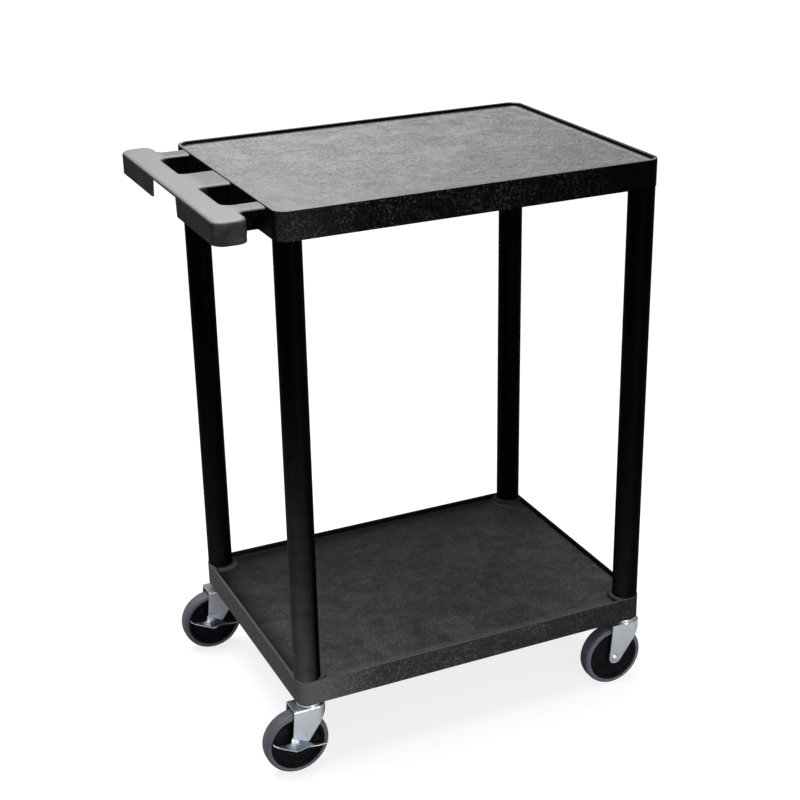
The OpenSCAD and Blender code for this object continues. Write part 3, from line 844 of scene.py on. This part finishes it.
def fork(corner):
    """Folded sheet: a flat top, bent down at the sides and round the nose, ending in two long ears."""
    columns, half, nose = fork_columns()
    top = box_mm("fork_" + corner)[1].z
    sheet, bend = 2.5, 3.6
    bend_turn, leg_rows = quarter(5), 6
    columns = columns + [(tx, -ty, bx, -by, bz) for tx, ty, bx, by, bz in reversed(columns[:-1])]

    def skin(depth):
        """The sheet's face at a depth inside its outer face: columns of points from the top's edge down."""
        grid = []
        for tx, ty, bx, by, bz in columns:
            if tx >= nose:
                direction = Vector((tx - nose, ty)).normalized()
            else:
                direction = Vector((0, math.copysign(1, ty)))
            edge = Vector((tx, ty)) - direction * bend
            r = bend - depth
            line = []
            for sin, cos in bend_turn:
                flat = edge + direction * (r * sin)
                line.append((flat.x, flat.y, top - bend + r * cos))
            base = Vector((tx, ty)) - direction * depth
            last = Vector((bx, by)) - direction * depth
            for k in range(1, leg_rows + 1):
                t = k / leg_rows
                p = base.lerp(last, t)
                line.append((p.x, p.y, (top - bend) * (1 - t) + bz * t))
            grid.append(line)
        return grid

    outer, inner = skin(0), skin(sheet)
    m, rows = len(outer), len(outer[0])
    verts = [p for line in outer + inner for p in line]
    offset = m * rows
    faces = []
    for i in range(m - 1):
        for k in range(rows - 1):
            a, b = i * rows + k, (i + 1) * rows + k
            faces.append((a, b, b + 1, a + 1))
            faces.append((offset + a + 1, offset + b + 1, offset + b, offset + a))
        a, b = i * rows + rows - 1, (i + 1) * rows + rows - 1
        faces.append((a, b, offset + b, offset + a))
    for k in range(rows - 1):
        for i in (0, m - 1):
            a = i * rows + k
            faces.append((a, a + 1, offset + a + 1, offset + a))
    faces.append(tuple(i * rows for i in range(m)))
    faces.append(tuple(offset + i * rows for i in range(m)))
    faces.append((0, (m - 1) * rows, offset + (m - 1) * rows, offset))
    race = rounded_profile([(half - 5, top - 4), (half + 0.6, top - 4), (half + 1.0, top - 2.2),
                            (half + 0.2, top - 0.2), (half - 2.5, top + 0.1), (half - 5, top - 1)], 0.8)
    part = merge((verts, faces), lathe(race))
    caster_piece("fork", "sheet", corner, part, "swivel", "zinc", ease=0.45)


def axle_bolt(corner):
    """Low domed and recessed head outside, and a threaded end inside."""
    inner, outer = outward("axle_bolt_" + corner, corner)
    head_r, head_t, shaft_r, recess = 6.5, 3.2, 3.95, 1.8
    thread_l, pitch, depth = 8.5, 1.4, 0.45
    dome = [(head_r * math.sin(math.radians(a)), outer - head_t * (1 - math.cos(math.radians(a))) * 0.8)
            for a in range(0, 91, 10)]
    profile = [(0, outer - recess), (2.2, outer - recess), (2.6, dome[3][1] + 0.1)] + dome[3:]
    profile += [(head_r, outer - head_t + 0.2), (head_r - 0.2, outer - head_t), (shaft_r, outer - head_t)]
    thread_end = inner + thread_l
    profile += [(shaft_r, thread_end)]
    for k in range(int((thread_l - 1) / pitch)):
        y = thread_end - k * pitch
        profile += [(shaft_r - depth, y - pitch * 0.5), (shaft_r, y - pitch)]
    profile += [(shaft_r - 0.8, inner), (0, inner)]
    part = about_axle(lathe(profile, 48))
    caster_piece("axle_bolt", "turned", corner, part, "swivel", "zinc")


def axle_nut(corner):
    """Hexagon nut with turned-off corners."""
    low, high = box_mm("axle_nut_" + corner)
    y0, y1 = outward("axle_nut_" + corner, corner)
    across = (high.z - low.z) / 2
    bore, point = 4.0, 1.16          # the corners reach a little past the turned-off ends
    steps = 48

    def ring(y, limit):
        """The hexagon cut off at a radius of limit times its half width, or the bore."""
        points = []
        for a in (2 * math.pi * i / steps for i in range(steps)):
            hexagon = across / math.cos((a + math.pi / 6) % (math.pi / 3) - math.pi / 6)
            r = min(hexagon, across * limit) if limit else bore
            points.append((r * math.sin(a + math.pi / 2), r * math.cos(a + math.pi / 2), y))
        return points

    rings = [ring(y, limit) for y, limit in (
        (y0, 0), (y0, 1.0), (y0 + 0.9, point), (y1 - 0.9, point), (y1, 1.0), (y1, 0), (y0, 0))]
    part = about_axle(loft(rings, cap_start=False, cap_end=False))
    caster_piece("axle_nut", "hex", corner, part, "swivel", "zinc", smooth_angle=20)


def wheel_core(corner):
    """Hub, dished web with moulded rings, and rim."""
    low, high = box_mm("wheel_core_" + corner)
    core_r = (high.z - low.z) / 2
    hub = (high.y - low.y) / 2
    rim = 11.5
    half = [
        (6.55, hub, 0.2), (10.5, hub, 0.5), (11.2, hub - 0.8, 0.3), (13.0, hub - 1.2, 0.8),
        (14.6, 7.6, 2.0), (21.0, 7.0, 0.3), (21.6, 7.6, 0.3), (24.4, 7.6, 0.3), (25.0, 7.0, 0.3),
        (core_r - 7.5, 7.2, 2.5), (core_r - 4.2, rim, 1.0), (core_r, rim, 0.2),
    ]
    outline = half + [(r, -h, e) for r, h, e in reversed(half)]
    part = about_axle(lathe(rounded_profile(outline), 128))
    caster_piece("wheel_core", "moulded", corner, part, "wheel", "core")


def tyre(corner):
    """Soft tread: slightly crowned, round shoulders, a moulded bead ring on each side."""
    low, high = box_mm("tyre_" + corner)
    r_out, side = (high.z - low.z) / 2, (high.y - low.y) / 2
    low, high = box_mm("wheel_core_" + corner)
    r_in = (high.z - low.z) / 2
    half = [
        (r_in, side - 1.6, 0.2), (r_in + 0.6, side - 0.9, 0.3), (r_in + 1.4, side - 0.5, 0.5),
        (r_in + 2.2, side, 0.8), (r_out - 4.2, side - 0.2, 2.0), (r_out - 1.0, side - 3.4, 2.6),
        (r_out, side - 7.6, 2.6),
    ]
    outline = half + [(r, -h, e) for r, h, e in reversed(half)]
    part = about_axle(lathe(rounded_profile(outline, steps=5), 128))
    caster_piece("tyre", "tread", corner, part, "wheel", "tyre", smooth_angle=50)


# ---------------------------------- side brakes

EAR_R = 7.0                          # of the round ear about the axle
PEDAL_T = 1.8
PEDAL_HALF = 46.0                    # from the axle to each wing's tip
PEDAL_TILT = 13.5                    # released: tail up


def tilt(v, degrees):
    """Turns a point about the axle, tail (-X) up for a positive angle."""
    a = math.radians(degrees)
    x, y, z = v
    return (x * math.cos(a) + z * math.sin(a), y, -x * math.sin(a) + z * math.cos(a))


def along(x, *points):
    """Value at x on a line through (x, value) points."""
    for (x0, v0), (x1, v1) in zip(points, points[1:]):
        if x <= x1:
            return v0 + (v1 - v0) * (x - x0) / (x1 - x0)
    return points[-1][1]


def pedal_plate(inner):
    """The pedal's face: a hump over the bolt that slopes down to an outer point, and two narrow wings
    with turned-up tips. Its outer edge has a small lip, turned down."""
    columns, across = 92, 10
    full_drop, tip_l = 1.5, 6        # the lip fades out over the wings' tips
    grid = []
    for i in range(columns + 1):
        x = PEDAL_HALF * (2 * i / columns - 1)
        near_z = along(x, (-46, 7.0), (-42, 4.6), (-36, 2.8), (-26, 2.4), (-2, 10.6), (11, 6.6), (24, 3.0),
                       (36, 3.6), (46, 6.4))
        far_z = along(x, (-46, 6.6), (-42, 3.8), (-36, 2.0), (-12, 1.4), (14, 1.8), (30, 2.4), (46, 5.8))
        far_y = along(x, (-46, 3.2), (-42, 4.2), (-37, 4.8), (-12, 16.6), (14, 4.8), (40, 3.6), (46, 2.8))
        near_y = along(x, (-46, 1.4), (-44, 0.8), (44, 0.8), (46, 1.4))
        line = []
        for k in range(across + 1):
            t = k / across
            line.append((x, inner + near_y + (far_y - near_y) * t, near_z + (far_z - near_z) * t))
        y, z = line[-1][1:]
        drop = full_drop * min(1.0, (PEDAL_HALF - abs(x)) / tip_l + 0.1)
        line.append((x, y + 0.35 * drop / full_drop, z - drop * 0.35))
        line.append((x, y + 0.45 * drop / full_drop, z - drop))
        grid.append(line)
    n = len(grid[0])
    verts = [p for line in grid for p in line]
    faces = [
        (i * n + k, (i + 1) * n + k, (i + 1) * n + k + 1, i * n + k + 1)
        for i in range(columns) for k in range(n - 1)
    ]
    return verts, faces


def thicken(part, thickness):
    """A closed solid from an open sheet, thickened downwards along its point normals."""
    verts, faces = part
    mesh = bmesh.new()
    made = [mesh.verts.new(v) for v in verts]
    for f in faces:
        mesh.faces.new([made[i] for i in f])
    bmesh.ops.recalc_face_normals(mesh, faces=mesh.faces)
    mesh.normal_update()
    if sum(f.normal.z for f in mesh.faces) < 0:
        bmesh.ops.reverse_faces(mesh, faces=mesh.faces)
    mesh.normal_update()
    mesh.verts.index_update()
    n = len(made)
    above = [tuple(v.co) for v in made]
    below = [tuple(v.co - v.normal * thickness) for v in made]
    skin = [tuple(v.index for v in f.verts) for f in mesh.faces]
    rim = [(e.verts[0].index, e.verts[1].index) for e in mesh.edges if e.is_boundary]
    mesh.free()
    skin += [tuple(n + i for i in reversed(f)) for f in skin]
    return above + below, skin + [(a, b, n + b, n + a) for a, b in rim]


def on_axle(part):
    """A part drawn with the axle at its origin, moved to its place in the caster."""
    return moved(part, lambda v: (v[0] - TRAIL, v[1], v[2] + AXLE_Z))


def upright(part):
    """A part drawn flat, stood up: its y becomes z."""
    return moved(part, lambda v: (v[0], v[2], v[1]))


def brake_pedal(corner):
    """The pedal's plate and, against the fork, the round tab that it rocks on."""
    inner = outward("brake_pedal_" + corner, corner)[0]
    plate = thicken(pedal_plate(inner), PEDAL_T)
    ear = [(5.5, 5.2)] + arc(0, 0, EAR_R, 0, -180, 20) + [(-EAR_R, 6.4), (-2, 9.4)]
    tab = upright(prism(ear, inner, inner + 2.0, 0.35))
    part = on_axle(moved(merge(plate, tab), lambda v: tilt(v, PEDAL_TILT)))
    caster_piece("brake_pedal", "wings", corner, part, "brake", "pedal",
                 smooth_angle=25, ease=0.3)


def brake_bracket(corner):
    """Bright cam plate clipped on the fork's leg, with a hook folded out at its front."""
    inner = outward("brake_bracket_" + corner, corner)[0]
    sheet, bend = 1.3, 1.8
    back, front, top = -13.0, 11.0, box_mm("brake_bracket_" + corner)[1].z - AXLE_Z
    outline = [(back, 2.0), (back, top - 4), (back + 3, top - 1), (-2, top),
               (front - 2, top - 1), (front, top - 3), (front, 2.0)]
    outline += arc(0, 0, EAR_R, -20, -160, 16)
    plate = upright(prism(outline[::-1], inner, inner + sheet, 0.25))
    line = [(front - 1.0 + bend * math.sin(math.radians(a)),
             inner + sheet / 2 + bend * (1 - math.cos(math.radians(a)))) for a in range(0, 91, 15)]
    line += [(front + 0.8, inner + 5.8)]
    hook = [(x, y, z) for x, y in line for z in (top - 6.0, top - 0.6)]
    hook_faces = [(2 * i, 2 * i + 1, 2 * i + 3, 2 * i + 2) for i in range(len(line) - 1)]
    part = on_axle(merge(plate, thicken((hook, hook_faces), 0.8)))
    caster_piece("brake_bracket", "plate", corner, part, "swivel", "cam", smooth_angle=30)


# ---------------------------------- assembly

top_shelf()
lower_shelf()
for corner in CORNERS:
    leg(corner)
    raceway(corner)
    fork(corner)
    axle_bolt(corner)
    axle_nut(corner)
    wheel_core(corner)
    tyre(corner)
    if "brake_" + corner in frame["bodies"]:
        brake_bracket(corner)
        brake_pedal(corner)

# Turned and rolling pieces inside the casters keep their CAD shape
for node, obj in frame["nodes"].items():
    if node.startswith(("stem_", "balls_", "axle_sleeve_")):
        obj.data.materials.clear()
        obj.data.materials.append(MATERIALS["steel"])
        shade(obj.data)


# ---------------------------------- stage, light and camera

FLOOR_HALF = 14.0                    # metres
FLOOR_GLOW = 0.80
BACKDROP_FILL, BACKDROP_SEEN = 0.24, 1.0


def floor():
    """Glows a little to the camera alone, for a studio's seamless white; a mid grey to everything else."""
    mesh = bpy.data.meshes.new("floor")
    h = FLOOR_HALF
    mesh.from_pydata([(-h, -h, 0), (h, -h, 0), (h, h, 0), (-h, h, 0)], [], [(0, 1, 2, 3)])
    obj = bpy.data.objects.new("floor", mesh)
    bpy.context.scene.collection.objects.link(obj)
    g = Graph("floor_paint")
    ray = g.node("ShaderNodeLightPath").outputs
    seen = ray["Is Camera Ray"]
    paint = g.ramp(g.noise(400, detail=3), (0.3, 0.24), (0.7, 0.27))
    unseen = g.mix(ray["Is Glossy Ray"], 0.28, 0.50)
    g.set(Base_Color=g.mix(seen, unseen, paint), Roughness=0.9, Specular_IOR_Level=0.05)
    g.set(Emission_Color=1.0, Emission_Strength=g.mul(seen, FLOOR_GLOW))
    mesh.materials.append(g.material)


def area_light(name, where, at, size, power):
    """A rectangular panel that faces a point; places in metres, from the shelves' middle in X."""
    data = bpy.data.lights.new(name, "AREA")
    data.shape = "RECTANGLE"
    data.size, data.size_y = size
    data.energy = power
    obj = bpy.data.objects.new(name, data)
    bpy.context.scene.collection.objects.link(obj)
    start, end = (Vector((x + SHELF_X * MM, y, z)) for x, y, z in (where, at))
    obj.location = start
    obj.rotation_euler = (end - start).to_track_quat("-Z", "Y").to_euler()


def lights():
    """A backdrop that is white to the camera and a dim fill to the object, a wide sun from above, a
    softbox over the top deck and a low panel in front."""
    world = bpy.data.worlds.new("studio")
    world.use_nodes = True
    tree = world.node_tree
    background = tree.nodes["Background"]
    background.inputs["Color"].default_value = (1, 1, 1, 1)
    seen = tree.nodes.new("ShaderNodeLightPath").outputs["Is Camera Ray"]
    strength = tree.nodes.new("ShaderNodeMapRange")
    strength.inputs["To Min"].default_value = BACKDROP_FILL
    strength.inputs["To Max"].default_value = BACKDROP_SEEN
    tree.links.new(seen, strength.inputs["Value"])
    tree.links.new(strength.outputs["Result"], background.inputs["Strength"])
    bpy.context.scene.world = world
    sun = bpy.data.lights.new("sky_panel", "SUN")
    sun.energy = 2.6
    sun.angle = math.radians(50)
    obj = bpy.data.objects.new("sky_panel", sun)
    obj.rotation_euler = (math.radians(-10), math.radians(-8), 0)
    bpy.context.scene.collection.objects.link(obj)
    deck = TOP_DECK * MM
    area_light("overhead_softbox", (-0.15, 0.25, deck + 0.75), (0, 0, deck), size=(1.3, 1.0), power=22)
    area_light("low_front_panel", (0.05, -1.25, 0.26), (0.05, -0.20, 0.10), size=(0.8, 0.4), power=10)


AIM = (-22.85, 8.9, 487.3)           # from the shelves' middle, above the floor
AIM_DISTANCE = 2579.5
AZIMUTH, ELEVATION, ROLL = -24.43, 22.82, -1.06


def camera():
    """Three-quarter view from the front left, a little above the handle."""
    azimuth, elevation, roll = (math.radians(a) for a in (AZIMUTH, ELEVATION, ROLL))
    aim = Vector((SHELF_X + AIM[0], SHELF_Y + AIM[1], AIM[2])) * MM
    back = Vector((math.sin(azimuth) * math.cos(elevation), -math.cos(azimuth) * math.cos(elevation),
                   math.sin(elevation)))
    data = bpy.data.cameras.new("camera")
    data.sensor_width = 36.0
    data.lens = 71.6
    obj = bpy.data.objects.new("camera", data)
    bpy.context.scene.collection.objects.link(obj)
    turn = (-back).to_track_quat("-Z", "Y").to_matrix() @ Matrix.Rotation(roll, 3, "Z")
    obj.matrix_world = Matrix.Translation(aim + back * AIM_DISTANCE * MM) @ turn.to_4x4()
    bpy.context.scene.camera = obj


floor()
lights()
camera()
bpy.context.scene.view_settings.view_transform = "Standard"
